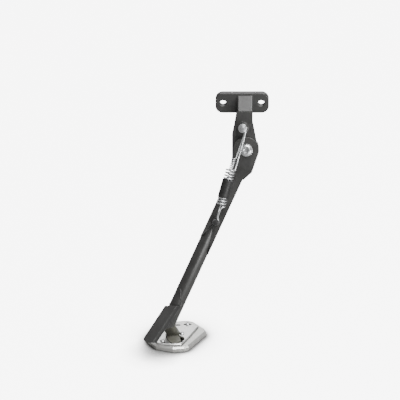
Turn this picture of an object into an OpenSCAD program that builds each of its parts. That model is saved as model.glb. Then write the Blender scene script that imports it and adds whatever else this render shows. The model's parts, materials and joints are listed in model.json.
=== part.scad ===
// Motorcycle side stand with a bolt-on foot enlarger plate, deployed.
// Axes: +X towards the rear wheel, +Y towards the motorcycle, +Z up.
// The origin is the centre of the two frame bolts on the mounting face.

/* [Stance] */
// height of the pivot above the ground
pivot_height = 297; // [287:1:307]
// outward lean of the plane the leg swings in
lean = 20; // [18:0.5:22]
// forward rake of the leg within that plane
rake = 24.6; // [23:0.1:26]
// how far the pivot stands outward of the mounting face
pivot_out = 46; // [44:1:50]
// how far the pivot hangs below the frame bolts
pivot_drop = 62; // [60:1:70]

/* [Leg] */
// outside diameter of the leg tube
tube_d = 22; // [21:0.5:23]
// wall of the leg tube
tube_wall = 3; // [2:0.25:4]
// height above the ground at which the tube is cut level
tube_cut = 34.6; // [33:0.2:36]
// distance from the leg's centre line to the pivot
leg_offset = 4; // [3:0.5:5]
// thickness of the forged bar below the fork
bar_t = 20; // [18:0.5:21]
// overall thickness across the two fork ears
fork_t = 25.2; // [24.8:0.1:26]
// radius of the fork ears round the pivot
ear_r = 20.5; // [20:0.25:21]

/* [Pivot] */
// thickness of the bracket tongue
tongue_t = 12; // [11.5:0.25:12]
// radius of the tongue round the pivot
tongue_r = 17; // [16:0.25:17.5]
// shank radius of the pivot bolt
bolt_r = 6; // [5.5:0.25:6]
// radius of the pivot bolt head
bolt_head_r = 8.6; // [8:0.2:9]

/* [Springs] */
// upper spring pin across from the pivot
pin_a_x = -5.5; // [-7:0.5:-5]
// upper spring pin above the pivot
pin_a_y = 34.5; // [33:0.5:36]
// lower spring pin along the leg from the pivot
pin_b_s = 122.5; // [121:0.5:123]
// wire diameter of the outer spring
outer_wire = 2.6; // [2.2:0.1:2.8]
// mean coil radius of the outer spring
outer_r = 6.7; // [6.5:0.1:7]
// wire diameter of the inner spring
inner_wire = 1.8; // [1.6:0.1:2]
// mean coil radius of the inner spring
inner_r = 2.8; // [2.7:0.1:3]

/* [Foot] */
// thickness of the aluminium base plate
base_t = 9; // [8:0.5:10]
// thickness of the base plate under the stand's own pad
floor_t = 3; // [2.5:0.25:4]
// thickness of the stainless clamp plate
clamp_t = 3; // [2.5:0.25:4]
// width of the flat tang pushed by the rider's boot
tang_w = 22; // [20:0.5:23]
// thickness of the tang
tang_t = 8; // [7:0.5:9]

/* [Mount] */
// distance between the two frame bolts
bolt_spacing = 60; // [58:1:64]
// radius of the frame bolt holes
bolt_hole_r = 5.25; // [5:0.05:5.5]
// thickness of the mounting flange
flange_t = 10; // [9:0.5:12]

/* [Hidden] */
$fn = 64;
BIG = 200;
EPS = 0.01;
TUCK = 0.02;
steel_black = [0.07, 0.07, 0.075];
zinc = [0.72, 0.73, 0.74];
alloy = [0.76, 0.76, 0.74];
stainless = [0.82, 0.82, 0.81];
rubber_black = [0.03, 0.03, 0.03];
olive = [0.2, 0.2, 0.16];
bronze = [0.62, 0.47, 0.25];

// pivot, ground and the in-plane direction down the leg
px = 6;
py = -pivot_out;
pz = -pivot_drop;
ground_z = pz - pivot_height;
leg_dir = [-sin(rake), -cos(rake)];
tube_r = tube_d / 2;
tube_bore = tube_r - tube_wall;
fork_half = fork_t / 2;
tongue_half = tongue_t / 2;
bar_half = bar_t / 2;

// fork slot, thrust washers and stops
washer_t = 1;
washer_r = 14;
bush_r = 8;
run_gap = 0.05;
side_gap = 0.15;
slot_half = tongue_half + washer_t + side_gap;
slot_r = tongue_r + 1.2;
deployed_stop = 212;
folded_stop = -65.5;
stop_gap = 0.7;
lug_x = 22;
fold_travel = 105;
web_rear = [[13.4, 30], [10.5, 44], [10.5, 60]];
web_front = [[-15, 60], [-19, 38], [-lug_x, 24]];
block_x = -13;
block_t = 22.5;
flange_over = 24;
flange_h = 34;
flange_corner = 12;

// forging of the leg head: its two shoulders and the taper to the bar
shoulder_rear = [3.2, -32];
shoulder_rear_r = 7;
shoulder_front = [-15, -22];
shoulder_front_r = 8;
shoulder_skirt = [[6, -38.5], [-4, -48], [-22.5, -34], [-22, -22]];
taper_from = 28;
taper_to = 50;
bar_from = 15;
bar_to = 190;
leg_reach = 345;

// bolt stack on the outer side, measured along the pivot axis
head_washer_t = 1.5;
head_washer_r = 10;
bolt_head_t = 4;
bolt_head_edge = 1;
bolt_hex_r = 4.6;
bolt_hex_floor = 1.2;
bolt_gap = 0.1;
nut_t = 8;
nut_af = 19;
thread_r = 2.5;

// spring plane: both springs share one axis, their arms lie side by side
spring_w = 21;
outer_w = 22.5;
inner_w = 20;
pin_root_r = 4;
pin_body_r = 4.6;
collar_t = 2.5;
collar_a_r = 7;
collar_b_r = 6.5;
pin_a_boss_r = 8.5;
pin_a_boss = 12;
pin_a_neck_r = 3.4;
pin_a_head_r = 4.4;
pin_b_neck_r = 2.4;
pin_b_head_r = 5;
groove_lo = 18.7;
groove_hi = 24.2;
pin_tip = 26;
pin_a = [pin_a_x, pin_a_y];
pin_b = leg_point(pin_b_s, 0);
span_ab = norm(pin_b - pin_a);
ab_dir = (pin_b - pin_a) / span_ab;
ab_angle = atan2(ab_dir[1], ab_dir[0]);
outer_from = 66;
outer_to = 126.6;
outer_turns = 13.2;
outer_hook_a = 5.1;
outer_hook_b = 3.9;
inner_from = 48;
inner_to = 124;
inner_turns = 27.3;
inner_hook_a = 4.8;
inner_hook_b = 3.6;
sleeve_from = 84;
sleeve_to = 112.7;
sleeve_wall = 0.7;

// joint between forging and tube, a slanting fishmouth
mouth_s = 131;
mouth_front = 26;
mouth_rear = 50;
mouth_tip = [-1.6, 2.6];

// foot centre, under the neck
cx = px - 113.9;
cy = py - 96;
pad_top = base_t;
clamp_top = base_t + clamp_t;
boss_top = clamp_top + 0.2;
neck_base = [-0.4, 14];
neck_x = 19.6;
neck_y = 13;
neck_corner = 6;
neck_under = 30;
neck_length = 90;
plug_from = 290;
pad_heel = [-1, -6.5];
pad_heel_r = 12.5;
pad_toe = [-1.5, 13];
pad_toe_r = 11.5;
base_bevel = 2.5;
clamp_bevel = 1;

base_outline = [
    [-42, 3], [-28, -19], [-1, -28.5], [17, -26.5], [24, -22], [51.5, 27],
    [48, 38], [32, 59.5], [22, 63.5], [9, 62], [-20, 56], [-40, 28]
];
clamp_outline = [
    [-31, -2], [-25.5, -17], [-16, -20], [-2.4, -21.5], [12, -21.5], [20, -6],
    [39, 38], [31, 49], [9, 54], [-20, 48], [-35, 24]
];
boss_outline = [
    [-3, -17], [5.5, -17], [9.5, -11], [9.5, 2], [7.5, 8],
    [7, 18], [-8, 20], [-11.5, 3], [-8.5, -9]
];
clamp_opening = [
    [-4, -18.5], [8, -18.5], [13.5, -15], [17.5, -5], [16.5, 1], [8.8, 8],
    [8.2, 20], [-14, 60], [-35.2, 53], [-13, 13], [-12.5, 2], [-9.5, -9]
];
screws = [[22, 43.5], [13.2, 12.5], [-17.4, -12.5], [-26, 14]];
screw_slots = [13, 0, 11, 0];
screw_turns = [0, 0, -42, 0];
screw_r = 2;
screw_head_r = 3.4;
screw_head_t = 2.6;
screw_rim = 1.4;
screw_crown_r = 2.1;
socket_r = 1.5;
socket_floor = 0.8;

// relief for the neck's heel in the base plate, and the spare slot
pocket_at = [3.3, -2];
pocket_r = 13.5;
pad_fit = 0.4;
spare_at = [4.5, 41.5];
spare_slot = 13;
spare_r = 2.5;
spare_depth = 5;

// tang ends, measured from the pivot
tang_root = [-119.7, -98.4, -235];
tang_end = [-153.4, -137.1, -272.4];
tang_over = 18;
tang_roll = 45;
tang_slope = 28;
tang_crest = -226.6;
tang_drop = 58;
tang_corner = 5;

// side-stand switch on the inner side of the pivot
rotor_w = -fork_half - nut_t - 1.4;
rotor_t = 2;
drive_r = 15.6;
housing_w = rotor_w - rotor_t - 0.3;
housing_t = 10;
housing_r = 15;
sleeve_r = 5;
peg_y = 31;
peg_r = 3;
peg_root = 2;
peg_boss_r = 6;
peg_boss = 9;
peg_lug_r = 7;
inlet_y = 3;
inlet_r = 4;
inlet_bore_r = 2;
rotor_r = 12;
rotor_ear_r = 4;
drive_pin_r = 2;
switch_thread = 12;
switch_head_r = 8;
switch_head_t = 4;
switch_hex_r = 2.9;

function unit(v) = v / norm(v);
function leg_point(s, v) =
    (leg_offset + v) * [cos(rake), -sin(rake)] + s * leg_dir;

// the plane the leg swings in: x rearward, y up, z outward along the pivot
module in_plane() {
    translate([px, py, pz])
        rotate([90 - lean, 0, 0])
            children();
}

// on the leg's centre line: x rearward, y up the leg, z outward
module on_leg() {
    in_plane()
        rotate([0, 0, -rake])
            translate([leg_offset, 0, 0])
                children();
}

// under the foot: origin on the ground below the neck
module at_foot() {
    translate([cx, cy, ground_z])
        children();
}

// along the springs: x from the upper pin to the lower one, z outward
module on_springs() {
    in_plane()
        translate([pin_a[0], pin_a[1], 0])
            rotate([0, 0, ab_angle])
                children();
}

// cylinder along the pivot axis between two levels
module rod(r, from, to) {
    translate([0, 0, min(from, to)])
        cylinder(r = r, h = abs(to - from));
}

// two circles joined by their outer tangents
module belt(p, r, q, s) {
    d = norm(q - p);
    turn = atan2(q[1] - p[1], q[0] - p[0]);
    open = acos((r - s) / d);
    translate(p)
        circle(r = r);
    translate(q)
        circle(r = s);
    polygon([
        p + (r - TUCK) * [cos(turn + open), sin(turn + open)],
        p + (r - TUCK) * [cos(turn - open), sin(turn - open)],
        q + (s - TUCK) * [cos(turn - open), sin(turn - open)],
        q + (s - TUCK) * [cos(turn + open), sin(turn + open)]
    ]);
}

// slot with round ends along x
module slot_2d(length, r) {
    reach = max(length / 2 - r, 0);
    translate([-reach, 0])
        circle(r = r);
    translate([reach, 0])
        circle(r = r);
    if (reach > 0)
        square([2 * reach, 2 * r], center = true);
}

// rectangle with round corners, centred
module round_rect(x, y, r) {
    for (i = [-1, 1], j = [-1, 1])
        translate([i * (x / 2 - r), j * (y / 2 - r)])
            circle(r = r);
    square([x, y - 2 * r], center = true);
    square([x - 2 * r, y], center = true);
}

// flat plate with its upper edges planed off
module bevelled_plate(outline, t, bevel) {
    n = len(outline);
    difference() {
        linear_extrude(t)
            polygon(outline);
        for (i = [0 : n - 1])
            translate([outline[i][0], outline[i][1], t - bevel])
                rotate([0, 0, edge_angle(outline[i], outline[(i + 1) % n])])
                    rotate([-45, 0, 0])
                        translate([-BIG, -2 * BIG, -BIG])
                            cube(2 * BIG);
    }
}

function edge_angle(p, q) = atan2(q[1] - p[1], q[0] - p[0]);

// wire swept along a path, its cross-section carried without twist
module wire(path, r, sides) {
    n = len(path);
    t = [for (i = [0 : n - 1])
        unit(path[min(i + 1, n - 1)] - path[max(i - 1, 0)])];
    u = [for (i = 0, a = square_to([0, 0, 1], t[0]); i < n;
        i = i + 1, a = square_to(a, t[min(i, n - 1)])) a];
    rings = [for (i = [0 : n - 1], k = [0 : sides - 1])
        path[i] + r * (cos(360 * k / sides) * u[i]
            + sin(360 * k / sides) * cross(t[i], u[i]))];
    skin = [for (i = [0 : n - 2], k = [0 : sides - 1], h = [0, 1])
        h == 0
            ? [i * sides + k, (i + 1) * sides + k, i * sides + (k + 1) % sides]
            : [(i + 1) * sides + k, (i + 1) * sides + (k + 1) % sides,
                i * sides + (k + 1) % sides]];
    first = [[for (k = [0 : sides - 1]) k]];
    last = [[for (k = [sides - 1 : -1 : 0]) (n - 1) * sides + k]];
    polyhedron(rings, concat(skin, first, last));
}

function square_to(a, t) = unit(a - (a * t) * t);

// points on an arc of a hook round one pin, from the first angle to the last
function hook(x, r, w, first, last, step) =
    [for (a = [first : step : last]) [x + r * cos(a), r * sin(a), w]];

// coils round the springs' common axis, starting on the rear side
function coils(from, to, turns, r, steps) =
    [for (i = [0 : round(turns * steps)])
        let (k = i / round(turns * steps), a = 90 + 360 * turns * k)
            [from + (to - from) * k, r * sin(a), spring_w - r * cos(a)]];

function outer_path() = concat(
    hook(0, outer_hook_a, outer_w, 330, 90, -30),
    [[14, outer_r - 0.3, outer_w]],
    coils(outer_from, outer_to, outer_turns, outer_r, 16),
    [[outer_to + 3, 1.2, spring_w + outer_r - 0.8], [outer_to + 17.4, 0.3, outer_w + 0.4],
        [span_ab - 7.5, 0.5, outer_w]],
    hook(span_ab, outer_hook_b, outer_w, 120, -150, -30));

function inner_path() = concat(
    hook(0, inner_hook_a, inner_w, 330, 90, -30),
    [[14, inner_hook_a - 0.4, inner_w]],
    coils(inner_from, inner_to, inner_turns, inner_r, 12),
    [[inner_to + 6, -0.7, inner_w + 0.4], [span_ab - 8.5, -0.3, inner_w]],
    hook(span_ab, inner_hook_b, inner_w, 130, -150, -28));

// front outline of the bracket's web and tongue
module web_outline() {
    stop_ray = deployed_stop - stop_gap;
    fold_ray = folded_stop + fold_travel + 1;
    circle(r = tongue_r);
    polygon([
        [0, 0],
        (tongue_r + 4.6) * [cos(fold_ray), sin(fold_ray)],
        web_rear[0], web_rear[1], web_rear[2],
        web_front[0], web_front[1], web_front[2],
        [-lug_x, -lug_x * tan(stop_ray)]
    ]);
}

// cast bracket: tongue and web in the leg's plane, flange on the frame
module frame_bracket() {
    color(steel_black)
        difference() {
            union() {
                in_plane()
                    translate([0, 0, -tongue_half])
                        linear_extrude(tongue_t)
                            web_outline();
                in_plane()
                    translate([pin_a[0], pin_a[1], 0])
                        rod(pin_a_boss_r, 0, pin_a_boss);
                in_plane()
                    translate([0, peg_y, 0])
                        rod(peg_boss_r, 0, -peg_boss);
                neck_block();
                mount_flange();
            }
            in_plane()
                rod(bush_r, -BIG / 4, BIG / 4);
            in_plane()
                translate([pin_a[0], pin_a[1], 0])
                    rod(pin_root_r, -1, pin_a_boss + 1);
            in_plane()
                translate([0, peg_y, 0])
                    rod(peg_r, -peg_boss - 1, -peg_root);
            for (i = [-1, 1])
                translate([i * bolt_spacing / 2, 1, 0])
                    rotate([90, 0, 0])
                        cylinder(r = bolt_hole_r, h = flange_t + 2);
        }
}

// block that carries the web up and inward to the flange
module neck_block() {
    top = [-flange_t, 14];
    low = [-flange_t - 2, -16];
    inset = tongue_half - 1;
    face = py - inset * cos(lean);
    foot = pz + inset * sin(lean);
    back = py + inset * cos(lean);
    heel = pz - inset * sin(lean);
    translate([px + block_x, 0, 0])
        rotate([90, 0, 90])
            linear_extrude(block_t)
                polygon([
                    [face + 40 * sin(lean), foot + 40 * cos(lean)],
                    [face + 60 * sin(lean), foot + 60 * cos(lean)],
                    top, [-flange_t / 2, 13], [-flange_t / 2, -15], low,
                    [back + 32 * sin(lean), heel + 32 * cos(lean)]
                ]);
}

// flange with the two frame bolt holes
module mount_flange() {
    rotate([90, 0, 0])
        linear_extrude(flange_t)
            round_rect(bolt_spacing + flange_over, flange_h, flange_corner);
}

// bronze bush pressed into the tongue
module pivot_bush() {
    color(bronze)
        in_plane()
            difference() {
                rod(bush_r, -tongue_half - washer_t, tongue_half + washer_t);
                rod(bolt_r + run_gap, -tongue_half - 2, tongue_half + 2);
            }
}

// thin steel ring between the tongue and one ear
module thrust_washer(side) {
    color(zinc)
        in_plane()
            difference() {
                rod(washer_r, side * tongue_half, side * (tongue_half + washer_t));
                rod(bush_r + 0.1, -BIG / 4, BIG / 4);
            }
}

module outer_thrust_washer() {
    thrust_washer(1);
}

module inner_thrust_washer() {
    thrust_washer(-1);
}

// grooved pin that holds both upper spring hooks
module upper_spring_pin() {
    color(zinc)
        in_plane()
            translate([pin_a[0], pin_a[1], 0]) {
                rod(pin_root_r, 0, pin_a_boss);
                rod(collar_a_r, pin_a_boss, pin_a_boss + collar_t);
                rod(pin_body_r, pin_a_boss + collar_t, groove_lo);
                rod(pin_a_neck_r, groove_lo, groove_hi);
                rod(pin_a_head_r, groove_hi, pin_tip);
            }
}

// pin that keeps the switch housing from turning
module switch_peg() {
    color(zinc)
        in_plane()
            translate([0, peg_y, 0])
                rod(peg_r, -peg_root, housing_w - housing_t - 1.5);
}

// sealed side-stand switch body with its cable inlet
module switch_housing() {
    color(rubber_black)
        in_plane()
            difference() {
                union() {
                    translate([0, 0, housing_w - housing_t])
                        linear_extrude(housing_t)
                            belt([0, 0], housing_r, [0, peg_y], peg_lug_r);
                    translate([0, inlet_y, housing_w - housing_t / 2])
                        rotate([0, 90, 0])
                            cylinder(r = inlet_r, h = housing_r + 4);
                }
                rod(sleeve_r + run_gap, -BIG / 3, 0);
                translate([0, peg_y, 0])
                    rod(peg_r + run_gap, -BIG / 3, 0);
                translate([housing_r - 2, inlet_y, housing_w - housing_t / 2])
                    rotate([0, 90, 0])
                        cylinder(r = inlet_bore_r, h = 10);
            }
}

// disc turned by the leg, with the bent ear that drives it
module switch_rotor() {
    color(zinc)
        on_leg()
            difference() {
                union() {
                    translate([0, 0, rotor_w - rotor_t])
                        linear_extrude(rotor_t)
                            belt([-leg_offset, 0], rotor_r, [-leg_offset, -drive_r], rotor_ear_r);
                    translate([-leg_offset, -drive_r, 0])
                        rod(drive_pin_r, rotor_w, -fork_half + 4);
                }
                translate([-leg_offset, 0, 0])
                    rod(sleeve_r + run_gap, -BIG / 4, 0);
            }
}

// shoulder screw that holds the switch on the end of the pivot bolt
module switch_screw() {
    seat = housing_w - housing_t - 0.3;
    crown = housing_w - housing_t - switch_head_t;
    color(zinc)
        in_plane()
            difference() {
                union() {
                    rod(thread_r, rotor_w + switch_thread, rotor_w);
                    rod(sleeve_r, rotor_w, seat);
                    rod(switch_head_r, seat, crown);
                }
                translate([0, 0, crown - EPS])
                    cylinder(r = switch_hex_r, h = 3, $fn = 6);
            }
}

// forged leg head with its two shoulders, and the bar below it
module fork_blank() {
    linear_extrude(fork_t)
        belt([0, 0], ear_r, shoulder_rear, shoulder_rear_r);
    linear_extrude(fork_t)
        belt([0, 0], ear_r, shoulder_front, shoulder_front_r);
    linear_extrude(fork_t)
        polygon(concat([[0, 0]], shoulder_skirt));
    rotate([0, 0, -rake])
        translate([leg_offset - tube_r, -bar_to, 0])
            cube([tube_d, bar_to - bar_from, fork_t]);
}

// thickness of the forging along the leg
module fork_profile() {
    rotate([90, 0, 90])
        translate([0, 0, -60])
            linear_extrude(120)
                polygon([
                    [40, -fork_half], [40, fork_half], [-taper_from, fork_half],
                    [-taper_to, bar_half], [-BIG, bar_half], [-BIG, -bar_half],
                    [-taper_to, -bar_half], [-taper_from, -fork_half]
                ]);
}

// space filled by the tube side of the fishmouth joint
module mouth() {
    half = tube_r + 1;
    tip = mouth_tip[0];
    notch = mouth_s + mouth_tip[1];
    on_leg()
        translate([0, 0, -tube_r - 5])
            linear_extrude(tube_d + 10)
                polygon([
                    [tip - 2, -notch], [tip, -mouth_s], [tip + 2.2, -notch],
                    [half, -mouth_s - mouth_rear], [half, -BIG * 2],
                    [-half, -BIG * 2], [-half, -mouth_s - mouth_front]
                ]);
}

// region the bracket's web sweeps through between the ears
module slot_wedge() {
    reach = 90;
    translate([0, 0, -slot_half])
        linear_extrude(2 * slot_half)
            polygon([
                [0, 0],
                reach * [cos(folded_stop), sin(folded_stop)],
                [reach, reach], [-reach, reach],
                reach * [cos(deployed_stop), sin(deployed_stop)]
            ]);
}

// forged fork and bar at the top of the leg
module leg_fork() {
    color(steel_black)
        difference() {
            intersection() {
                in_plane()
                    translate([0, 0, -fork_half])
                        fork_blank();
                on_leg()
                    fork_profile();
            }
            in_plane()
                rod(slot_r, -slot_half, slot_half);
            in_plane()
                slot_wedge();
            in_plane()
                rod(bolt_r + bolt_gap, -BIG / 4, BIG / 4);
            on_leg()
                translate([-leg_offset, -drive_r, 0])
                    rod(drive_pin_r + 0.1, -BIG / 4, -slot_half + 1);
            on_leg()
                translate([0, -pin_b_s, 0])
                    rod(pin_root_r, 0, BIG / 4);
            mouth();
        }
}

// everything above the level cut at the foot of the tube
module above_cut() {
    translate([px - BIG, py - 2 * BIG, ground_z + tube_cut])
        cube([2 * BIG, 3 * BIG, 3 * BIG]);
}

// leg tube, fishmouthed at the top and cut level at the foot
module leg_tube() {
    color(steel_black)
        difference() {
            intersection() {
                on_leg()
                    rotate([90, 0, 0])
                        cylinder(r = tube_r, h = leg_reach - 5);
                mouth();
                above_cut();
            }
            on_leg()
                rotate([90, 0, 0])
                    translate([0, 0, -1])
                        cylinder(r = tube_bore, h = leg_reach);
        }
}

// low-headed pivot bolt, tapped at its inner end for the switch
module pivot_bolt() {
    head = fork_half + head_washer_t;
    shoulder = head + bolt_head_t - bolt_head_edge;
    color(zinc)
        in_plane()
            difference() {
                union() {
                    rod(bolt_r, head, -fork_half - nut_t - 1);
                    rod(bolt_head_r, head, shoulder);
                    translate([0, 0, shoulder])
                        cylinder(r1 = bolt_head_r, r2 = bolt_head_r - 2, h = bolt_head_edge);
                }
                translate([0, 0, head + bolt_hex_floor])
                    cylinder(r = bolt_hex_r, h = bolt_head_t, $fn = 6);
                rod(thread_r, -fork_half - nut_t - 2, rotor_w + switch_thread + 1);
            }
}

module pivot_washer() {
    color(zinc)
        in_plane()
            difference() {
                rod(head_washer_r, fork_half, fork_half + head_washer_t);
                rod(bolt_r + bolt_gap, 0, BIG / 4);
            }
}

module pivot_nut() {
    color(zinc)
        in_plane()
            difference() {
                translate([0, 0, -fork_half - nut_t])
                    cylinder(r = nut_af / sqrt(3), h = nut_t, $fn = 6);
                rod(bolt_r, -BIG / 4, 0);
            }
}

// grooved pin on the leg that holds both lower spring hooks
module lower_spring_pin() {
    color(steel_black)
        on_leg()
            translate([0, -pin_b_s, 0]) {
                rod(pin_root_r, 0, bar_half);
                rod(collar_b_r, bar_half, bar_half + collar_t);
                rod(pin_body_r, bar_half + collar_t, groove_lo);
                rod(pin_b_neck_r, groove_lo, groove_hi);
                rod(pin_b_head_r, groove_hi, pin_tip);
            }
}

// flattened neck that cranks back from the tube to the stand's own pad
module foot_neck() {
    top = tube_end() - [cx, cy, ground_z];
    run = top - [neck_base[0], neck_base[1], boss_top];
    yaw = atan2(run[0], norm([run[1], run[2]]));
    pitch = atan2(-run[1], run[2]);
    color(olive) {
        difference() {
            at_foot()
                translate([neck_base[0], neck_base[1], boss_top])
                    rotate([pitch, 0, 0])
                        rotate([0, yaw, 0])
                            translate([0, 0, -neck_under])
                                linear_extrude(neck_length)
                                    round_rect(neck_x, neck_y, neck_corner);
            above_cut();
            at_foot()
                translate([-BIG / 2, -BIG / 2, boss_top - BIG])
                    cube([BIG, BIG, BIG]);
        }
        intersection() {
            on_leg()
                rotate([90, 0, 0])
                    translate([0, 0, plug_from])
                        cylinder(r = tube_bore, h = leg_reach - plug_from - 5);
            above_cut();
        }
    }
}

// centre of the tube where it is cut level
function tube_end() =
    let (z = ground_z + tube_cut,
        y = (z - pz) / cos(lean),
        s = (y + leg_offset * sin(rake)) / -cos(rake))
            [px + leg_point(s, 0)[0], py + y * sin(lean), z];

module pad_outline(grow) {
    belt(pad_heel, pad_heel_r + grow, pad_toe, pad_toe_r + grow);
}

// the stand's own foot pad: flange clamped between the plates, raised middle
module foot_pad() {
    color(olive)
        at_foot() {
            translate([0, 0, floor_t])
                linear_extrude(pad_top - floor_t)
                    pad_outline(0);
            translate([0, 0, pad_top - 1])
                linear_extrude(boss_top - pad_top + 1)
                    polygon(boss_outline);
        }
}

// turned so that local y runs down the tang and local z faces outward and up
module along_tang() {
    d = unit(tang_end - tang_root);
    facing = [0, -cos(tang_slope), sin(tang_slope)];
    flat = unit(facing - (facing * d) * d);
    across = cross(d, flat);
    multmatrix([
        [across[0], d[0], flat[0], px + tang_root[0]],
        [across[1], d[1], flat[1], py + tang_root[1]],
        [across[2], d[2], flat[2], pz + tang_root[2]],
        [0, 0, 0, 1]
    ])
        rotate([0, tang_roll, 0])
            children();
}

// tang the boot pushes, saddled on the outer front of the tube
module foot_tang() {
    length = norm(tang_end - tang_root) + tang_over;
    color(steel_black)
        difference() {
            along_tang()
                translate([0, length / 2 - tang_over, -tang_t / 2])
                    linear_extrude(tang_t)
                        round_rect(tang_w, length, tang_corner);
            translate([px, py, pz] + [0, tang_root[1], tang_crest])
                rotate([-tang_slope, 0, 0])
                    for (z = [0, -BIG - tang_drop])
                        translate([-BIG, -BIG / 2, z])
                            cube(BIG * [2, 1, 1]);
            on_leg()
                rotate([90, 0, 0])
                    cylinder(r = tube_r, h = leg_reach);
        }
}

// machined plate that spreads the load on soft ground
module base_plate() {
    color(alloy)
        at_foot()
            difference() {
                bevelled_plate(base_outline, base_t, base_bevel);
                translate([0, 0, floor_t])
                    linear_extrude(base_t)
                        pad_outline(pad_fit);
                translate([pocket_at[0], pocket_at[1], floor_t])
                    cylinder(r = pocket_r, h = base_t);
                translate([spare_at[0], spare_at[1], base_t - spare_depth])
                    linear_extrude(base_t)
                        slot_2d(spare_slot, spare_r - 0.2);
                for (i = [0 : len(screws) - 1])
                    at_screw(i)
                        translate([0, 0, 1.5])
                            cylinder(r = screw_r, h = base_t);
                for (i = [0 : len(screws) - 1])
                    if (screw_slots[i] > 0)
                        at_screw(i)
                            translate([0, 0, base_t - 3])
                                linear_extrude(base_t)
                                    slot_2d(screw_slots[i], screw_r + 0.6);
            }
}

module at_screw(i) {
    translate([screws[i][0], screws[i][1], 0])
        rotate([0, 0, screw_turns[i]])
            children();
}

// stainless plate that clamps the pad down, open at the back for the neck
module clamp_plate() {
    color(stainless)
        at_foot()
            translate([0, 0, base_t])
                difference() {
                    bevelled_plate(clamp_outline, clamp_t, clamp_bevel);
                    translate([0, 0, -1])
                        linear_extrude(base_t)
                            polygon(clamp_opening);
                    translate([spare_at[0], spare_at[1], -1])
                        linear_extrude(base_t)
                            slot_2d(spare_slot, spare_r);
                    for (i = [0 : len(screws) - 1])
                        at_screw(i)
                            translate([0, 0, -1])
                                linear_extrude(base_t)
                                    slot_2d(screw_slots[i], screw_r + 0.2);
                }
}

// button-head screw through the clamp plate into the base plate
module clamp_screw(i) {
    rim = clamp_top + screw_rim;
    color(zinc)
        at_foot()
            at_screw(i)
                difference() {
                    union() {
                        rod(screw_r, 2, clamp_top);
                        rod(screw_head_r, clamp_top, rim);
                        translate([0, 0, rim])
                            cylinder(r1 = screw_head_r, r2 = screw_crown_r,
                                h = screw_head_t - screw_rim);
                    }
                    translate([0, 0, clamp_top + socket_floor])
                        cylinder(r = socket_r, h = screw_head_t, $fn = 6);
                }
}

module clamp_screw_1() {
    clamp_screw(0);
}

module clamp_screw_2() {
    clamp_screw(1);
}

module clamp_screw_3() {
    clamp_screw(2);
}

module clamp_screw_4() {
    clamp_screw(3);
}

// outer extension spring
module outer_spring() {
    color(zinc)
        on_springs()
            wire(outer_path(), outer_wire / 2, 8);
}

// inner extension spring
module inner_spring() {
    color(zinc)
        on_springs()
            wire(inner_path(), inner_wire / 2, 6);
}

// rubber sleeve that keeps the coils off the leg
module spring_sleeve() {
    over_coils = outer_r + outer_wire / 2;
    color(rubber_black)
        on_springs()
            translate([sleeve_from, 0, spring_w])
                rotate([0, 90, 0])
                    difference() {
                        cylinder(r = over_coils + sleeve_wall, h = sleeve_to - sleeve_from);
                        translate([0, 0, -1])
                            cylinder(r = over_coils + run_gap, h = BIG);
                    }
}

frame_bracket();
pivot_bush();
outer_thrust_washer();
inner_thrust_washer();
upper_spring_pin();
switch_peg();
switch_housing();
switch_rotor();
switch_screw();
leg_fork();
leg_tube();
pivot_bolt();
pivot_washer();
pivot_nut();
lower_spring_pin();
foot_neck();
foot_pad();
foot_tang();
base_plate();
clamp_plate();
clamp_screw_1();
clamp_screw_2();
clamp_screw_3();
clamp_screw_4();
outer_spring();
inner_spring();
spring_sleeve();
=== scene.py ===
import json
import math

import bmesh
import bpy
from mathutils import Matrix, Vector
from mathutils.bvhtree import BVHTree


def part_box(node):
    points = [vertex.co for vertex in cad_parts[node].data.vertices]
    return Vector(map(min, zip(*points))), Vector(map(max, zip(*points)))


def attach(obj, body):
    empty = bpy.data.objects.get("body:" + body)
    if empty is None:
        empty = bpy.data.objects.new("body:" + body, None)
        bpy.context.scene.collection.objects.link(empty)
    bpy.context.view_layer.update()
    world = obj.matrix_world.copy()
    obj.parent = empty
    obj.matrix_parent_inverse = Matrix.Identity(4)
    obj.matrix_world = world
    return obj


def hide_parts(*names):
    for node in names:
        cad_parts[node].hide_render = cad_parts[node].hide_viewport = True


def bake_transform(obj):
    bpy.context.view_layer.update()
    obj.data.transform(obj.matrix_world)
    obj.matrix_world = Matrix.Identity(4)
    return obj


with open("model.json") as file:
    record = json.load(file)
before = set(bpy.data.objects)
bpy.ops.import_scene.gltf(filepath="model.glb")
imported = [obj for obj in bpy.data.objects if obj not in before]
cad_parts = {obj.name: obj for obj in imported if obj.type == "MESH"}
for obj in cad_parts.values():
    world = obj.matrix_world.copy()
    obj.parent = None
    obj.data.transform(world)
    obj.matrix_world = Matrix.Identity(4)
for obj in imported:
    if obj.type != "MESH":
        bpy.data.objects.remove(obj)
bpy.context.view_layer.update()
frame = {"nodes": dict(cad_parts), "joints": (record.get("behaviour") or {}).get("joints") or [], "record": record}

MM = 0.001
JOINTS = {j["name"]: j for j in frame["joints"]}

# ---------------------------------------------------------------- frames
# The leg swings in a plane through the pivot: x rearward, y up, w outward.
PIVOT = Vector(JOINTS["leg_pivot"]["pos_m"])
OUT = Vector(JOINTS["leg_pivot"]["axis"])
REAR = Vector((1, 0, 0))
UP = OUT.cross(REAR)

# The leg, in mm: its slant, how far its centre line passes behind the pivot,
# the tube's radius, half the bar's thickness, and where the lower spring pin is.
RAKE = math.radians(24.6)
LEG_OFFSET = 4.0
TUBE_R = 11.0
BAR_HALF = 10.0
PIN_B_S = 122.5

# The springs lie along the line from the upper pin to the lower one.
PIN_A = Vector(JOINTS["spring_swing"]["pos_m"])
ALONG = Vector(JOINTS["spring_stretch"]["axis"])
SIDE = OUT.cross(ALONG)


def in_plane(x, y, w):
    return PIVOT + (REAR * x + UP * y + OUT * w) * MM


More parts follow.
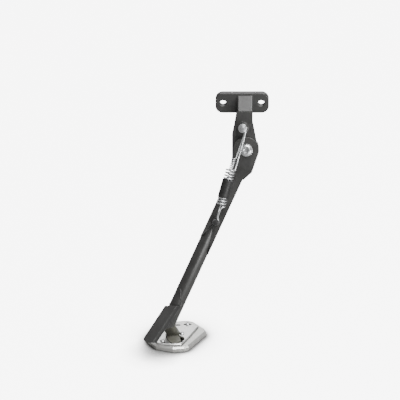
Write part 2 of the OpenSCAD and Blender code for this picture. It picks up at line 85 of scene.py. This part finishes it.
def on_leg(x, y, w):
    """x across the leg's centre line, y up it from the pivot, in mm."""
    a = x + LEG_OFFSET
    return in_plane(
        a * math.cos(RAKE) + y * math.sin(RAKE),
        -a * math.sin(RAKE) + y * math.cos(RAKE),
        w,
    )


def on_springs(x, y, w):
    """x from the upper pin to the lower one, y rearward of that line, in mm."""
    return PIN_A + (ALONG * x + SIDE * y + OUT * w) * MM


PIN_B = on_leg(0, -PIN_B_S, 0)
SPAN = (PIN_B - PIN_A).length / MM


# ------------------------------------------------------------- materials
class Tree:
    """A node tree with short calls for what the materials below need."""

    def __init__(self, name):
        self.material = bpy.data.materials.new(name)
        self.material.use_nodes = True
        self.nodes = self.material.node_tree.nodes
        self.links = self.material.node_tree.links
        self.shader = self.nodes["Principled BSDF"]
        coordinates = self.nodes.new("ShaderNodeTexCoord")
        self.at = coordinates.outputs["Object"]
        self.turned = coordinates.outputs["Normal"]

    def add(self, kind, **inputs):
        node = self.nodes.new("ShaderNode" + kind)
        for key, value in inputs.items():
            socket = node.inputs[key.replace("_", " ")]
            if isinstance(value, bpy.types.NodeSocket):
                self.links.new(value, socket)
            else:
                socket.default_value = value
        return node

    def stretch(self, x, y, z):
        node = self.add("Mapping", Vector=self.at)
        node.inputs["Scale"].default_value = (x, y, z)
        return node.outputs["Vector"]

    def noise(self, scale, detail=4.0, rough=0.55, at=None):
        node = self.add(
            "TexNoise", Vector=at or self.at, Scale=scale, Detail=detail, Roughness=rough
        )
        return node.outputs["Fac"]

    def ramp(self, fac, low, high, a=0.0, b=1.0):
        node = self.add("MapRange", Value=fac)
        for key, value in (
            ("From Min", low),
            ("From Max", high),
            ("To Min", a),
            ("To Max", b),
        ):
            node.inputs[key].default_value = value
        return node.outputs["Result"]

    def math(self, what, a, b=0.0):
        node = self.nodes.new("ShaderNodeMath")
        node.operation = what
        node.use_clamp = what in ("ADD", "MULTIPLY", "SUBTRACT")
        for k, value in enumerate((a, b)):
            if isinstance(value, bpy.types.NodeSocket):
                self.links.new(value, node.inputs[k])
            else:
                node.inputs[k].default_value = value
        return node.outputs["Value"]

    def mix(self, fac, a, b):
        node = self.nodes.new("ShaderNodeMix")
        node.data_type = "RGBA"
        self.links.new(fac, node.inputs["Factor"])
        for key, value in (("A", a), ("B", b)):
            socket = [s for s in node.inputs if s.name == key and s.type == "RGBA"][0]
            if isinstance(value, bpy.types.NodeSocket):
                self.links.new(value, socket)
            else:
                socket.default_value = (*value, 1.0)
        return [s for s in node.outputs if s.type == "RGBA"][0]

    def edges(self, radius):
        """1 on edges and 0 on flats, from how far the rounded normal turns."""
        bevel = self.nodes.new("ShaderNodeBevel")
        bevel.samples = 6
        bevel.inputs["Radius"].default_value = radius * MM
        geometry = self.nodes.new("ShaderNodeNewGeometry")
        dot = self.nodes.new("ShaderNodeVectorMath")
        dot.operation = "DOT_PRODUCT"
        self.links.new(bevel.outputs["Normal"], dot.inputs[0])
        self.links.new(geometry.outputs["Normal"], dot.inputs[1])
        return self.ramp(dot.outputs["Value"], 0.995, 0.93)

    def facing(self, way):
        """1 where the surface faces that way on the object, 0 across it."""
        dot = self.nodes.new("ShaderNodeVectorMath")
        dot.operation = "DOT_PRODUCT"
        self.links.new(self.turned, dot.inputs[0])
        dot.inputs[1].default_value = way
        return self.ramp(dot.outputs["Value"], 0.35, 0.7)

    def open_air(self, reach, samples=8):
        """How open the surface is, 1 where nothing stands within reach (mm)."""
        node = self.nodes.new("ShaderNodeAmbientOcclusion")
        node.samples = samples
        node.inputs["Distance"].default_value = reach * MM
        return node.outputs["AO"]

    def bump(self, height, strength, distance=0.2, normal=None):
        node = self.add("Bump", Height=height)
        node.inputs["Strength"].default_value = strength
        node.inputs["Distance"].default_value = distance * MM
        if normal is not None:
            self.links.new(normal, node.inputs["Normal"])
        return node.outputs["Normal"]

    def finish(self, colour=None, rough=None, normal=None, **fixed):
        for key, value in (
            ("Base Color", colour),
            ("Roughness", rough),
            ("Normal", normal),
        ):
            if isinstance(value, bpy.types.NodeSocket):
                self.links.new(value, self.shader.inputs[key])
            elif value is not None:
                self.shader.inputs[key].default_value = value
        for key, value in fixed.items():
            self.shader.inputs[key.replace("_", " ")].default_value = value
        return self.material


def black_coat(name, tone, grain, gloss, painted_shade_way=None):
    """Powder coat: fine orange peel, dust in patches, rubbed edges. On faces that
    look the way the last argument says, the coat is painted darker: painted shade."""
    t = Tree(name)
    patch = t.ramp(t.noise(28.0, 5.0, 0.6), 0.35, 0.7)
    dark = tuple(c * 0.85 for c in tone)
    light = tuple(c * 1.4 for c in tone)
    colour = t.mix(patch, dark, light)
    # Painted shade: faces that look the given way are made darker, as if in shade.
    if painted_shade_way is not None:
        colour = t.mix(t.facing(painted_shade_way), colour, tuple(c * 0.3 for c in tone))
    rub = t.math("MULTIPLY", t.edges(0.9), t.ramp(t.noise(160.0, 3.0), 0.42, 0.6))
    colour = t.mix(rub, colour, (0.13, 0.13, 0.135))
    scuff = t.ramp(t.noise(60.0, 8.0, 0.75), 0.62, 0.7)
    colour = t.mix(t.math("MULTIPLY", scuff, 0.35), colour, (0.1, 0.098, 0.09))
    rough = t.ramp(t.noise(90.0, 4.0), 0.3, 0.75, gloss, gloss + 0.16)
    peel = t.bump(t.noise(1400.0, 2.0), 0.16 * grain, 0.12)
    lumps = t.bump(t.noise(220.0, 3.0), 0.2 * grain, 0.35, peel)
    return t.finish(colour, rough, lumps, Specular_IOR_Level=0.55)


def plated(name, tone, gloss):
    """Zinc plated steel: clouded shine with small stains."""
    t = Tree(name)
    cloud = t.ramp(t.noise(120.0, 4.0), 0.35, 0.7)
    colour = t.mix(cloud, tuple(c * 0.86 for c in tone), tone)
    stain = t.ramp(t.noise(260.0, 6.0, 0.7), 0.6, 0.72, 0.0, 0.5)
    colour = t.mix(stain, colour, (0.3, 0.28, 0.24))
    rough = t.ramp(t.noise(340.0, 3.0), 0.3, 0.7, gloss, gloss + 0.14)
    normal = t.bump(t.noise(900.0, 3.0), 0.1, 0.1)
    return t.finish(colour, rough, normal, Metallic=1.0)


def machined_alloy():
    """Milled and satin anodised aluminium with fine parallel tool marks, and painted shade in its creases."""
    t = Tree("machined alloy")
    lines = t.noise(1.0, 2.0, 0.5, t.stretch(90.0, 1500.0, 90.0))
    cloud = t.ramp(t.noise(26.0, 4.0), 0.3, 0.75)
    colour = t.mix(cloud, (0.66, 0.66, 0.635), (0.78, 0.78, 0.755))
    edge = t.edges(0.8)
    colour = t.mix(t.math("MULTIPLY", edge, 0.7), colour, (0.9, 0.9, 0.88))
    scuff = t.ramp(t.noise(75.0, 9.0, 0.8), 0.63, 0.7, 0.0, 0.45)
    colour = t.mix(scuff, colour, (0.5, 0.49, 0.46))
    # Painted shade: the colour goes near black where another surface stands within 3.2 mm, in creases and the gaps
    # between parts.
    seam = t.ramp(t.open_air(3.2), 0.56, 0.86)
    colour = t.mix(seam, (0.06, 0.06, 0.055), colour)
    rough = t.ramp(lines, 0.3, 0.7, 0.36, 0.5)
    normal = t.bump(lines, 0.12, 0.08)
    return t.finish(colour, rough, normal, Metallic=0.9)


def brushed_stainless():
    """Laser-cut stainless sheet, brushed along the machine's length, with painted shade in its creases."""
    t = Tree("brushed stainless")
    lines = t.noise(1.0, 3.0, 0.6, t.stretch(2200.0, 60.0, 60.0))
    cloud = t.ramp(t.noise(40.0, 4.0), 0.3, 0.7)
    colour = t.mix(cloud, (0.7, 0.7, 0.685), (0.83, 0.83, 0.815))
    colour = t.mix(t.math("MULTIPLY", t.edges(0.5), 0.8), colour, (0.95, 0.95, 0.94))
    # Painted shade: near black where another surface stands within 2.5 mm.
    seam = t.ramp(t.open_air(2.5), 0.4, 0.75)
    colour = t.mix(seam, (0.08, 0.08, 0.075), colour)
    rough = t.ramp(lines, 0.3, 0.7, 0.3, 0.46)
    return t.finish(colour, rough, t.bump(lines, 0.1, 0.06), Metallic=0.95)


def worn_pad_coat(name, dark, light):
    """Olive-grey coat of the stand's own foot, scraped and dusty."""
    t = Tree(name)
    patch = t.ramp(t.noise(70.0, 6.0, 0.65), 0.35, 0.68)
    colour = t.mix(patch, dark, light)
    scrape = t.ramp(t.noise(180.0, 8.0, 0.75), 0.58, 0.68, 0.0, 0.8)
    colour = t.mix(scrape, colour, (0.15, 0.148, 0.125))
    colour = t.mix(t.math("MULTIPLY", t.edges(0.8), 0.6), colour, (0.2, 0.2, 0.18))
    rough = t.ramp(t.noise(120.0, 4.0), 0.3, 0.7, 0.42, 0.62)
    normal = t.bump(t.noise(500.0, 5.0), 0.25, 0.2)
    return t.finish(colour, rough, normal, Specular_IOR_Level=0.45)


def rubber():
    """Black rubber with a dull bloom and fine grain."""
    t = Tree("black rubber")
    bloom = t.ramp(t.noise(90.0, 5.0), 0.35, 0.75)
    colour = t.mix(bloom, (0.004, 0.004, 0.004), (0.011, 0.011, 0.0105))
    rough = t.ramp(t.noise(200.0, 3.0), 0.3, 0.7, 0.5, 0.62)
    normal = t.bump(t.noise(1100.0, 3.0), 0.2, 0.12)
    return t.finish(colour, rough, normal, Specular_IOR_Level=0.5)


def moulded_plastic():
    """Moulded black plastic with spark-eroded texture."""
    t = Tree("moulded plastic")
    colour = t.mix(t.ramp(t.noise(60.0), 0.3, 0.7), (0.012,) * 3, (0.022,) * 3)
    rough = t.ramp(t.noise(300.0), 0.3, 0.7, 0.45, 0.6)
    normal = t.bump(t.noise(1600.0, 2.0), 0.25, 0.1)
    return t.finish(colour, rough, normal)


def sintered_bronze():
    """Oil-soaked bronze with fine pores."""
    t = Tree("sintered bronze")
    pores = t.ramp(t.noise(1500.0, 2.0), 0.55, 0.65)
    colour = t.mix(pores, (0.55, 0.38, 0.18), (0.24, 0.16, 0.08))
    return t.finish(colour, 0.35, t.bump(pores, 0.2, 0.06), Metallic=1.0)


# One olive coat in two tones: the neck's is darker, painted shade for its downward-facing sides, and the pad's
# lighter, painted light for its lit top.
SHADED_NECK_DARK = (0.042, 0.042, 0.033)
SHADED_NECK_LIGHT = (0.07, 0.069, 0.055)
LIT_PAD_DARK = (0.075, 0.074, 0.06)
LIT_PAD_LIGHT = (0.12, 0.119, 0.1)

MATERIALS = {
    "black_steel": black_coat(
        "black powder coat", tone=(0.0225, 0.0222, 0.0215), grain=1.0, gloss=0.3
    ),
    "zinc_steel": plated("zinc plate", tone=(0.62, 0.63, 0.64), gloss=0.24),
    "spring_steel": plated("zinc plated wire", tone=(0.7, 0.71, 0.72), gloss=0.3),
    "bronze": sintered_bronze(),
    "pad_steel": worn_pad_coat("worn olive coat", SHADED_NECK_DARK, SHADED_NECK_LIGHT),
    "alloy": machined_alloy(),
    "stainless": brushed_stainless(),
    "rubber": rubber(),
    "switch_plastic": moulded_plastic(),
}
# The tang's coat is painted darker on its rear-facing side: painted shade.
TANG_COAT = black_coat(
    "black powder coat, tang, painted shade",
    tone=(0.029, 0.0287, 0.0278),
    grain=1.4,
    gloss=0.46,
    painted_shade_way=REAR,
)
PAD_COAT = worn_pad_coat("worn olive coat, pad", LIT_PAD_DARK, LIT_PAD_LIGHT)
TUBE_COAT = black_coat(
    "black powder coat, tube", tone=(0.0275, 0.0272, 0.0262), grain=0.8, gloss=0.35
)
# Black oxide pin, made far darker than the coat: its own dark finish and painted shade for the shade at the
# fishmouth's tip.
PIN_COAT = black_coat("black oxide", tone=(0.009, 0.009, 0.009), grain=0.6, gloss=0.42)
WELD = black_coat(
    "black powder coat, weld", tone=(0.026, 0.0257, 0.025), grain=2.2, gloss=0.34
)
# The fishmouth's weld bead gets a much darker copy of the coat: painted shade for the crease along the joint.
PAINTED_SHADE_WELD = black_coat(
    "black powder coat, seam, painted shade", tone=(0.011, 0.011, 0.0105), grain=1.6, gloss=0.5
)
SLOT_OF = {s["node"]: s["material_slot"] for s in frame["record"]["subparts"]}
BODY_OF = {
    node: body
    for body, nodes in frame["record"]["behaviour"]["bodies"].items()
    for node in nodes
}


# ----------------------------------------------------------- mesh pieces
def place(name, mesh, slot, material=None):
    """Puts a mesh in the scene, with its slot's material unless one is given."""
    piece = bpy.data.objects.new(name, mesh)
    bpy.context.scene.collection.objects.link(piece)
    mesh.materials.clear()
    mesh.materials.append(material or MATERIALS[slot])
    return piece


def smooth(mesh, degrees):
    """Shades the mesh smooth, apart from edges that turn by more than degrees."""
    mesh.shade_smooth()
    mesh.set_sharp_from_angle(angle=math.radians(degrees))


def bake(piece):
    """Replaces the piece's mesh with the one its modifiers make."""
    graph = bpy.context.evaluated_depsgraph_get()
    made = bpy.data.meshes.new_from_object(piece.evaluated_get(graph))
    materials = list(piece.data.materials)
    piece.modifiers.clear()
    piece.data = made
    made.materials.clear()
    for m in materials:
        made.materials.append(m)


def copy_of(node):
    """The CAD node's mesh as one welded shell with its flat faces joined."""
    bm = bmesh.new()
    bm.from_mesh(frame["nodes"][node].data)
    bmesh.ops.remove_doubles(bm, verts=bm.verts, dist=2e-6)
    bmesh.ops.dissolve_limit(
        bm, angle_limit=math.radians(0.3), verts=bm.verts, edges=bm.edges
    )
    return bm


def crisp(node, width, segments=2, material=None, facet=32):
    """The CAD node with every sharp edge broken by a small round."""
    bm = copy_of(node)
    mesh = bpy.data.meshes.new(node + "_finished")
    bm.to_mesh(mesh)
    bm.free()
    piece = place(node + "_finished", mesh, SLOT_OF[node], material)
    bevel = piece.modifiers.new("bevel", "BEVEL")
    bevel.width = width * MM
    bevel.segments = segments
    bevel.limit_method = "ANGLE"
    bevel.angle_limit = math.radians(28)
    bevel.use_clamp_overlap = True
    bake(piece)
    smooth(piece.data, facet)
    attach(piece, BODY_OF[node])
    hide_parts(node)
    return piece


def forged(node, voxel, rounds):
    """The CAD node remeshed and relaxed, so that its edges flow as forged."""
    bm = copy_of(node)
    mesh = bpy.data.meshes.new(node + "_forged")
    bm.to_mesh(mesh)
    bm.free()
    piece = place(node + "_forged", mesh, SLOT_OF[node])
    grid = piece.modifiers.new("grid", "REMESH")
    grid.mode = "VOXEL"
    grid.voxel_size = voxel * MM
    relax = piece.modifiers.new("relax", "SMOOTH")
    relax.iterations = rounds
    relax.factor = 0.5
    bake(piece)
    piece.data.shade_smooth()
    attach(piece, BODY_OF[node])
    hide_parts(node)
    return piece


def sweep(path, radius, sides):
    """A tube along a path. radius is one number or one for each point, in mm."""
    count = len(path)
    radii = radius if isinstance(radius, list) else [radius] * count
    bm = bmesh.new()
    rings = []
    normal = None
    for i, p in enumerate(path):
        t = (path[min(i + 1, count - 1)] - path[max(i - 1, 0)]).normalized()
        if normal is None:
            normal = OUT.cross(t) if abs(OUT.dot(t)) < 0.9 else REAR.cross(t)
        normal = (normal - t * normal.dot(t)).normalized()
        other = t.cross(normal)
        ring = []
        for k in range(sides):
            a = math.tau * k / sides
            offset = normal * math.cos(a) + other * math.sin(a)
            ring.append(bm.verts.new(p + offset * radii[i] * MM))
        rings.append(ring)
    for a, b in zip(rings, rings[1:]):
        for k in range(sides):
            m = (k + 1) % sides
            bm.faces.new((a[k], a[m], b[m], b[k]))
    bm.faces.new(list(reversed(rings[0])))
    bm.faces.new(rings[-1])
    return bm


def to_piece(name, bm, slot, degrees=40, material=None):
    """The mesh as a piece of the scene, with its faces turned outward."""
    bmesh.ops.recalc_face_normals(bm, faces=bm.faces)
    mesh = bpy.data.meshes.new(name)
    bm.to_mesh(mesh)
    bm.free()
    smooth(mesh, degrees)
    return place(name, mesh, slot, material)


def lathe(name, profile, at, steps, slot):
    """Turns (along, radius) pairs about a line. at(along, x, y) places a point."""
    bm = bmesh.new()
    rings = []
    for along, r in profile:
        ring = []
        for k in range(steps):
            a = math.tau * k / steps
            ring.append(bm.verts.new(at(along, r * math.cos(a), r * math.sin(a))))
        rings.append(ring)
    for a, b in zip(rings, rings[1:]):
        for k in range(steps):
            m = (k + 1) % steps
            bm.faces.new((a[k], a[m], b[m], b[k]))
    return to_piece(name, bm, slot)


# ---------------------------------------------------------- CAD surfaces
for node in ("frame_bracket", "leg_fork"):
    forged(node, voxel=0.55, rounds=6)
crisp("leg_tube", 0.4, 2, TUBE_COAT)
crisp("foot_tang", 1.3, 3, TANG_COAT)
crisp("foot_neck", 0.6, 2)
crisp("foot_pad", 1.0, 3, PAD_COAT)
crisp("base_plate", 0.35, 2, facet=12)
crisp("clamp_plate", 0.25, 2, facet=12)
for node in (
    "pivot_bolt",
    "pivot_washer",
    "pivot_nut",
    "upper_spring_pin",
    "switch_rotor",
    "switch_screw",
    "switch_peg",
    "outer_thrust_washer",
    "inner_thrust_washer",
    "pivot_bush",
):
    crisp(node, 0.3, 2)
crisp("lower_spring_pin", 0.4, 2, PIN_COAT)
for k in range(4):
    crisp("clamp_screw_%d" % (k + 1), 0.25, 2)
crisp("switch_housing", 0.8, 3)


# --------------------------------------------------------------- springs
# Both springs share one axis, SPRING_W out from the leg's plane. Each has its
# hooks' distance out, wire radius, coil radius, hook radii at the upper and the
# lower pin, stretch of coils and turns. KNEE is where the upper arms begin.
SPRING_W = 21.0
OUTER_W, OUTER_WIRE, OUTER_R = 22.5, 1.3, 6.7
OUTER_HOOKS = (5.1, 3.9)
OUTER_COILS = (66.0, 126.6)
OUTER_TURNS = 13.2
INNER_W, INNER_WIRE, INNER_R = 20.0, 0.9, 2.8
INNER_HOOKS = (4.8, 3.6)
INNER_COILS = (48.0, 124.0)
INNER_TURNS = 27.3
KNEE = 14.0
# The sleeve's two ends along the springs, its radius and that of its rolled lips.
SLEEVE = (84.0, 112.7)
SLEEVE_R = 8.62
SLEEVE_LIP_R = 8.05


def rounded(points, step, softness):
    """Points joined by short steps, with each corner relaxed into a bend."""
    path = [points[0]]
    for a, b in zip(points, points[1:]):
        count = max(1, round((b - a).length / MM / step))
        path += [a.lerp(b, k / count) for k in range(1, count + 1)]
    for _ in range(softness):
        path = (
            [path[0]]
            + [(path[i - 1] + path[i] * 2 + path[i + 1]) / 4 for i in range(1, len(path) - 1)]
            + [path[-1]]
        )
    return path


def hook(x, r, w, first, last):
    """Points round one pin, from the first angle to the last."""
    count = 26
    turn = [first + (last - first) * k / count for k in range(count + 1)]
    return [
        on_springs(x + r * math.cos(math.radians(a)), r * math.sin(math.radians(a)), w)
        for a in turn
    ]


def coils(stretch, turns, r, steps):
    """Coils round the springs' axis, starting on the rear side."""
    count = round(turns * steps)
    points = []
    for k in range(count + 1):
        a = math.radians(90) + math.tau * turns * k / count
        x = stretch[0] + (stretch[1] - stretch[0]) * k / count
        points.append(on_springs(x, r * math.sin(a), SPRING_W - r * math.cos(a)))
    return points


def spring(name, node, upper, knee, body, tail, lower, wire_r, sides):
    """Extension spring: upper hook, arm, coils, tail and lower hook in one wire."""
    step, softness, clear = 0.8, 5, 12
    arm = rounded([upper[-1], knee, body[2]], step, softness)
    end = rounded([body[-3]] + tail + [lower[0]], step, softness)
    path = upper[:-1] + arm[:-1] + body[2:-3] + end[:-1] + lower
    piece = to_piece(name, sweep(path, wire_r, sides), "spring_steel", 60)
    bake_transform(piece)
    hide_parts(node)
    return piece


spring(
    name="outer_coil",
    node="outer_spring",
    upper=hook(0, OUTER_HOOKS[0], OUTER_W, -30, -270),
    knee=on_springs(KNEE, OUTER_R - 0.3, OUTER_W),
    body=coils(OUTER_COILS, OUTER_TURNS, OUTER_R, 30),
    tail=[
        on_springs(OUTER_COILS[1] + 3, 1.2, SPRING_W + OUTER_R - 0.8),
        on_springs(OUTER_COILS[1] + 17.4, 0.3, OUTER_W + 0.4),
        on_springs(SPAN - 7.5, 0.5, OUTER_W),
    ],
    lower=hook(SPAN, OUTER_HOOKS[1], OUTER_W, 120, -150),
    wire_r=OUTER_WIRE,
    sides=14,
)
spring(
    name="inner_coil",
    node="inner_spring",
    upper=hook(0, INNER_HOOKS[0], INNER_W, -30, -270),
    knee=on_springs(KNEE, 4.4, INNER_W),
    body=coils(INNER_COILS, INNER_TURNS, INNER_R, 22),
    tail=[
        on_springs(INNER_COILS[1] + 6, -0.7, INNER_W + 0.4),
        on_springs(SPAN - 8.5, -0.3, INNER_W),
    ],
    lower=hook(SPAN, INNER_HOOKS[1], INNER_W, 130, -150),
    wire_r=INNER_WIRE,
    sides=10,
)


def rubber_sleeve():
    """Sleeve with rolled ends, pressed out a little by the coils under it."""
    start, stop = SLEEVE
    shoulder_r = SLEEVE_LIP_R + 0.2
    bore_r = SLEEVE_LIP_R - 0.03
    pitch = 4.66
    steps = 60
    profile = [(start + 0.3, SLEEVE_LIP_R)]
    for k in range(steps + 1):
        u = k / steps
        x = start + (stop - start) * u
        ease = min(1.0, min(u, 1 - u) * 22)
        ripple = 0.06 * math.cos(math.tau * (x - OUTER_COILS[0]) / pitch)
        swell = (SLEEVE_R - shoulder_r) * math.sqrt(ease)
        profile.append((x, shoulder_r + swell + ripple * ease))
    profile.append((stop - 0.3, SLEEVE_LIP_R))
    profile += [(stop - 0.6, bore_r), (start + 0.6, bore_r), (start + 0.3, SLEEVE_LIP_R)]
    piece = lathe(
        "spring_sleeve_rubber",
        profile,
        lambda x, a, b: on_springs(x, a, SPRING_W + b),
        64,
        "rubber",
    )
    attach(piece, "spring_upper")
    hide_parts("spring_sleeve")


rubber_sleeve()


# ---------------------------------------------------------------- welds
# The fishmouth joint of bar and tube: its blunt tip's place down the leg and
# across it, how far the tip spreads to the front and to the rear, how blunt it
# is, and how far the joint's front and rear prongs reach down the leg.
MOUTH_S = 131.0
MOUTH_TIP = -1.6
TIP_FRONT, TIP_REAR = 2.0, 2.2
MOUTH_BLUNT = 2.6
MOUTH_FRONT = 26.0
MOUTH_REAR = 50.0
# Where along the leg the tang's seam is looked for, and how often.
SEAM_S = 236.0
SEAM_LENGTH = 60.0
SEAM_STEP = 0.5
# The length of one weld ripple, and the spacing of a bead's rings.
RIPPLE = 1.9
BEAD_STEP = 0.35


def weld(name, points, radius, body, seed, material):
    """A run of overlapping weld ripples along a path, painted over."""
    lengths = [0.0]
    for a, b in zip(points, points[1:]):
        lengths.append(lengths[-1] + (b - a).length / MM)
    total = lengths[-1]
    count = int(total / BEAD_STEP)
    path, radii = [], []
    j = 0
    for i in range(count + 1):
        s = total * i / count
        while j < len(lengths) - 2 and lengths[j + 1] < s:
            j += 1
        u = (s - lengths[j]) / max(lengths[j + 1] - lengths[j], 1e-6)
        path.append(points[j].lerp(points[j + 1], min(u, 1.0)))
        ripple = abs(math.sin(s * math.pi / RIPPLE + seed))
        taper = min(1.0, min(s, total - s) / 1.5 + 0.35)
        radii.append(radius * (0.86 + 0.16 * ripple) * taper)
    piece = to_piece(name, sweep(path, radii, 12), "black_steel", 60, material)
    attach(piece, body)
    return piece


def mouth_point(x, inner):
    """Point of the fishmouth joint at x across the leg, on one face."""
    off = x - MOUTH_TIP
    edge = TUBE_R + 1
    if abs(off) < TIP_FRONT:
        s = MOUTH_S + MOUTH_BLUNT / TIP_FRONT * abs(off)
    elif off < 0:
        reach = (-off - TIP_FRONT) / (edge + MOUTH_TIP - TIP_FRONT)
        s = MOUTH_S + MOUTH_BLUNT + reach * (MOUTH_FRONT - MOUTH_BLUNT)
    else:
        reach = (off - TIP_REAR) / (edge - MOUTH_TIP - TIP_REAR)
        s = MOUTH_S + MOUTH_BLUNT + reach * (MOUTH_REAR - MOUTH_BLUNT)
    w = min(math.sqrt(max(TUBE_R**2 - x * x, 0.0)), BAR_HALF + 0.4)
    return on_leg(x, -s, -w if inner else w)


SPREAD = [math.sin(math.radians(a)) for a in range(-86, 87, 3)]
for side, inner in (("outer", False), ("inner", True)):
    run = [mouth_point(TUBE_R * u, inner) for u in SPREAD]
    weld("weld_fishmouth_" + side, run, 1.15, "leg", 0.4, PAINTED_SHADE_WELD)


def inside(tree, point):
    """True if the point is inside the closed mesh the tree was made from."""
    near, normal, _, _ = tree.find_nearest(point)
    return (point - near).dot(normal) < 0


def tang_seam(side):
    """Where the tang's edge meets the tube, on its rear (1) or front (-1) side."""
    bm = copy_of("foot_tang")
    tree = BVHTree.FromBMesh(bm)
    bm.free()
    skin_r = TUBE_R + 0.1
    turns = [math.radians(a) * side for a in range(-30, 120, 2)]
    points = []
    for k in range(round(SEAM_LENGTH / SEAM_STEP)):
        s = SEAM_S + SEAM_STEP * k
        ring = [on_leg(skin_r * math.sin(a), -s, skin_r * math.cos(a)) for a in turns]
        hits = [p for p in ring if inside(tree, p)]
        if hits and hits[-1] is not ring[-1]:
            points.append(hits[-1])
    return points


for side, label in ((1, "rear"), (-1, "front")):
    seam = rounded(tang_seam(side)[::4], 0.8, 6)
    weld("weld_tang_" + label, seam, 0.9, "leg", 1.1, WELD)


# ---------------------------------------------------------------- studio
# The paper glows for the camera only, so it doesn't light the part. Its glow and
# # colour carry a painted contact shadow: they darken where something stands
# # within SHADE_REACH (mm) of it.
FLOOR_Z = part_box("base_plate")[0].z
FLOOR_HALF = 40.0
PAPER_GLOW = 7.0
SHADE_REACH = 50
SHADE_POWER = 8.0


def stage_floor():
    """Wide pale floor, level with the foot's underside."""
    bm = bmesh.new()
    corners = [(-1, -1), (1, -1), (1, 1), (-1, 1)]
    half = FLOOR_HALF
    bm.faces.new([bm.verts.new((x * half, y * half, FLOOR_Z)) for x, y in corners])
    mesh = bpy.data.meshes.new("floor")
    bm.to_mesh(mesh)
    bm.free()
    floor = bpy.data.objects.new("floor", mesh)
    bpy.context.scene.collection.objects.link(floor)
    t = Tree("studio paper")
    seen = t.nodes.new("ShaderNodeLightPath").outputs["Is Camera Ray"]
    open_air = t.math("POWER", t.open_air(SHADE_REACH, 24), SHADE_POWER)
    glow = t.ramp(t.math("MULTIPLY", seen, open_air), 0.0, 1.0, 0.0, PAPER_GLOW)
    # Painted shade in the paper's own colour, seen in reflections: darker near the part.
    tone = t.mix(open_air, (0.16, 0.16, 0.158), (0.42, 0.42, 0.415))
    t.links.new(glow, t.shader.inputs["Emission Strength"])
    t.shader.inputs["Emission Color"].default_value = (1, 1, 1, 1)
    t.finish(tone, 0.9)
    mesh.materials.append(t.material)


stage_floor()


# The lights face one point, AIM, near the middle of the part.
AIM = PIVOT + Vector((-0.07, -0.04, -0.1))


def point_at(holder, way):
    """Turns a light or camera to look that way, with its top up."""
    holder.rotation_mode = "QUATERNION"
    holder.rotation_quaternion = way.to_track_quat("-Z", "Y")


def softbox(name, towards, away, size, power):
    """Rectangular light, away metres from AIM in one direction, facing it."""
    lamp = bpy.data.lights.new(name, "AREA")
    lamp.shape = "RECTANGLE"
    lamp.size, lamp.size_y = size
    lamp.energy = power
    holder = bpy.data.objects.new(name, lamp)
    bpy.context.scene.collection.objects.link(holder)
    holder.location = AIM + Vector(towards).normalized() * away
    point_at(holder, AIM - holder.location)


softbox("key", towards=(0.33, -0.38, 0.86), away=2.0, size=(1.0, 1.0), power=62)
softbox("side", towards=(0.62, -0.78, 0.02), away=2.0, size=(0.7, 0.38), power=30)
softbox("back", towards=(0.1, 0.85, 0.5), away=2.2, size=(2.2, 0.9), power=17)
softbox("fill", towards=(-0.88, 0.15, 0.44), away=2.2, size=(0.9, 0.7), power=2.5)

world = bpy.data.worlds.new("studio")
bpy.context.scene.world = world
world.use_nodes = True
sky = world.node_tree.nodes["Background"]
sky.inputs["Color"].default_value = (1, 1, 1, 1)
sky.inputs["Strength"].default_value = 0.3

# ---------------------------------------------------------------- camera
# A long lens from far away, so that the view is nearly without perspective.
ELEVATION = math.radians(28)
LENS = 1200.0
SENSOR = 36.0
FRAME_WIDTH = 0.6284
TARGET = PIVOT + Vector((-0.0723, -0.0376, -0.0707))
LOOK = Vector((0, math.cos(ELEVATION), -math.sin(ELEVATION)))
camera = bpy.data.cameras.new("camera")
camera.lens = LENS
camera.sensor_width = SENSOR
camera.clip_end = 100
holder = bpy.data.objects.new("camera", camera)
bpy.context.scene.collection.objects.link(holder)
holder.location = TARGET - LOOK * (FRAME_WIDTH * LENS / SENSOR)
point_at(holder, LOOK)
bpy.context.scene.camera = holder
